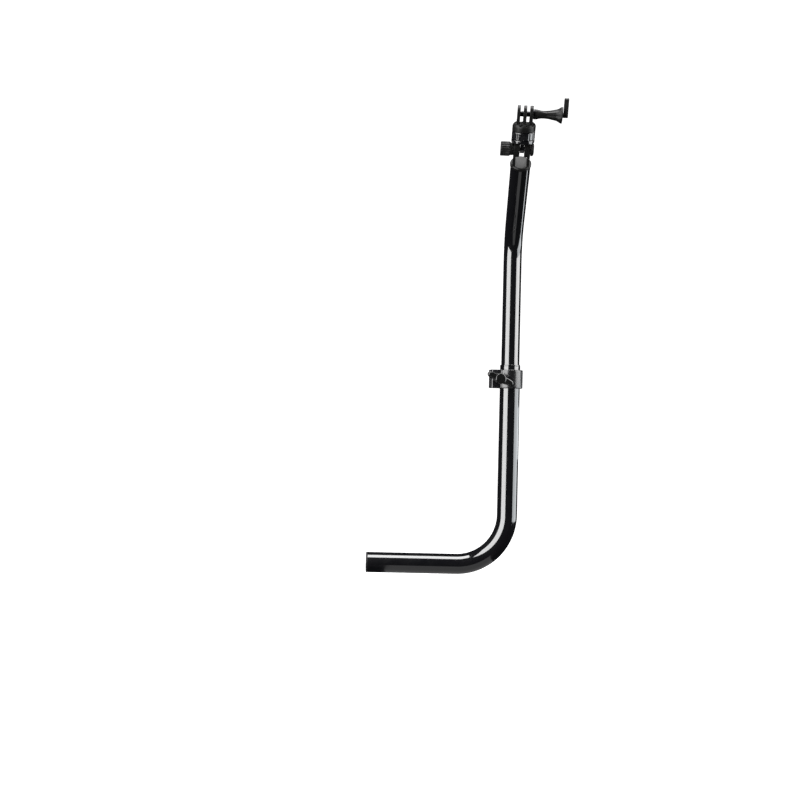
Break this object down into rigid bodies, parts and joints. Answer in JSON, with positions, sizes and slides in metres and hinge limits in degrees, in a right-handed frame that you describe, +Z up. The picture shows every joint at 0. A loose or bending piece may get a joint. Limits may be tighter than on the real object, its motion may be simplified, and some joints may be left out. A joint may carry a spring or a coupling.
{
  "type": "selfie stick",
  "caption": "Bent two-stage gloss black pole with a split clamp collar, a tilting knuckle and a three-prong camera head, held by its lower arm.",
  "frame": {"origin": "middle of the flat end face of the horizontal lower arm", "axes": "+X along the lower arm towards the pole, +Z up the pole, -Y the way the upper stage leans"},
  "size_m": [0.1897, 0.1452, 0.4843],
  "materials": {
    "tube_gloss": "high gloss black lacquer over drawn tube",
    "plug_plastic": "moulded black nylon",
    "clamp_satin": "satin black coat on a cast collar",
    "knob_plastic": "fine-grained moulded black plastic",
    "head_satin": "satin black glass-filled nylon",
    "zinc_steel": "bright zinc plated steel",
    "black_steel": "blackened steel",
    "brass_insert": "turned brass"
  },
  "bodies": {
    "lower_pole": {"lower_tube": "tube_gloss", "arm_end_plug": "plug_plastic", "mouth_ring": "tube_gloss", "clamp_collar": "clamp_satin", "clamp_nut": "zinc_steel"},
    "clamp_screw": {"clamp_bolt": "zinc_steel", "clamp_washer": "zinc_steel", "wing_knob": "knob_plastic"},
    "slider": {"guide_bush": "plug_plastic"},
    "upper_pole": {"upper_tube": "tube_gloss", "top_cap": "head_satin", "tilt_nut": "black_steel", "nut_cover": "knob_plastic"},
    "tilt_screw": {"tilt_bolt": "black_steel", "tilt_washer": "black_steel", "tilt_knob": "knob_plastic"},
    "knuckle": {"tilt_knuckle": "head_satin", "camera_stud": "zinc_steel"},
    "lock_ring": {"lock_ring": "head_satin"},
    "camera_head": {"camera_adapter": "head_satin", "adapter_insert": "brass_insert", "prong_insert": "black_steel"},
    "thumb_screw": {"thumb_bolt": "black_steel", "thumb_washer": "black_steel", "thumb_knob": "knob_plastic"}
  },
  "joints": [
    {"name": "clamp_screw_turn", "type": "hinge", "parent": "lower_pole", "child": "clamp_screw", "pos_m": [0.13977, -0.00292, 0.20635], "axis": [0.1822, -0.9833, 0], "continuous": true},
    {"name": "stage_slide", "type": "slide", "parent": "lower_pole", "child": "slider", "axis": [0, 0, 1], "range_m": [-0.095, 0.02]},
    {"name": "stage_swivel", "type": "hinge", "parent": "slider", "child": "upper_pole", "pos_m": [0.1555, 0, 0.2222], "axis": [0, 0, 1], "continuous": true},
    {"name": "tilt_screw_turn", "type": "hinge", "parent": "upper_pole", "child": "tilt_screw", "pos_m": [0.14876, -0.10154, 0.43048], "axis": [0.9934, -0.1021, -0.0514], "continuous": true},
    {"name": "head_tilt", "type": "hinge", "parent": "upper_pole", "child": "knuckle", "pos_m": [0.14876, -0.10154, 0.43048], "axis": [0.9934, -0.1021, -0.0514], "range_deg": [-63, 107]},
    {"name": "lock_ring_turn", "type": "hinge", "parent": "knuckle", "child": "lock_ring", "pos_m": [0.14876, -0.10154, 0.43048], "axis": [-0.0127, -0.5454, 0.8381], "continuous": true},
    {"name": "camera_pan", "type": "hinge", "parent": "knuckle", "child": "camera_head", "pos_m": [0.14876, -0.10154, 0.43048], "axis": [-0.0127, -0.5454, 0.8381], "continuous": true},
    {"name": "thumb_screw_turn", "type": "hinge", "parent": "camera_head", "child": "thumb_screw", "pos_m": [0.14833, -0.11992, 0.45873], "axis": [0.9934, -0.1021, -0.0514], "continuous": true}
  ]
}
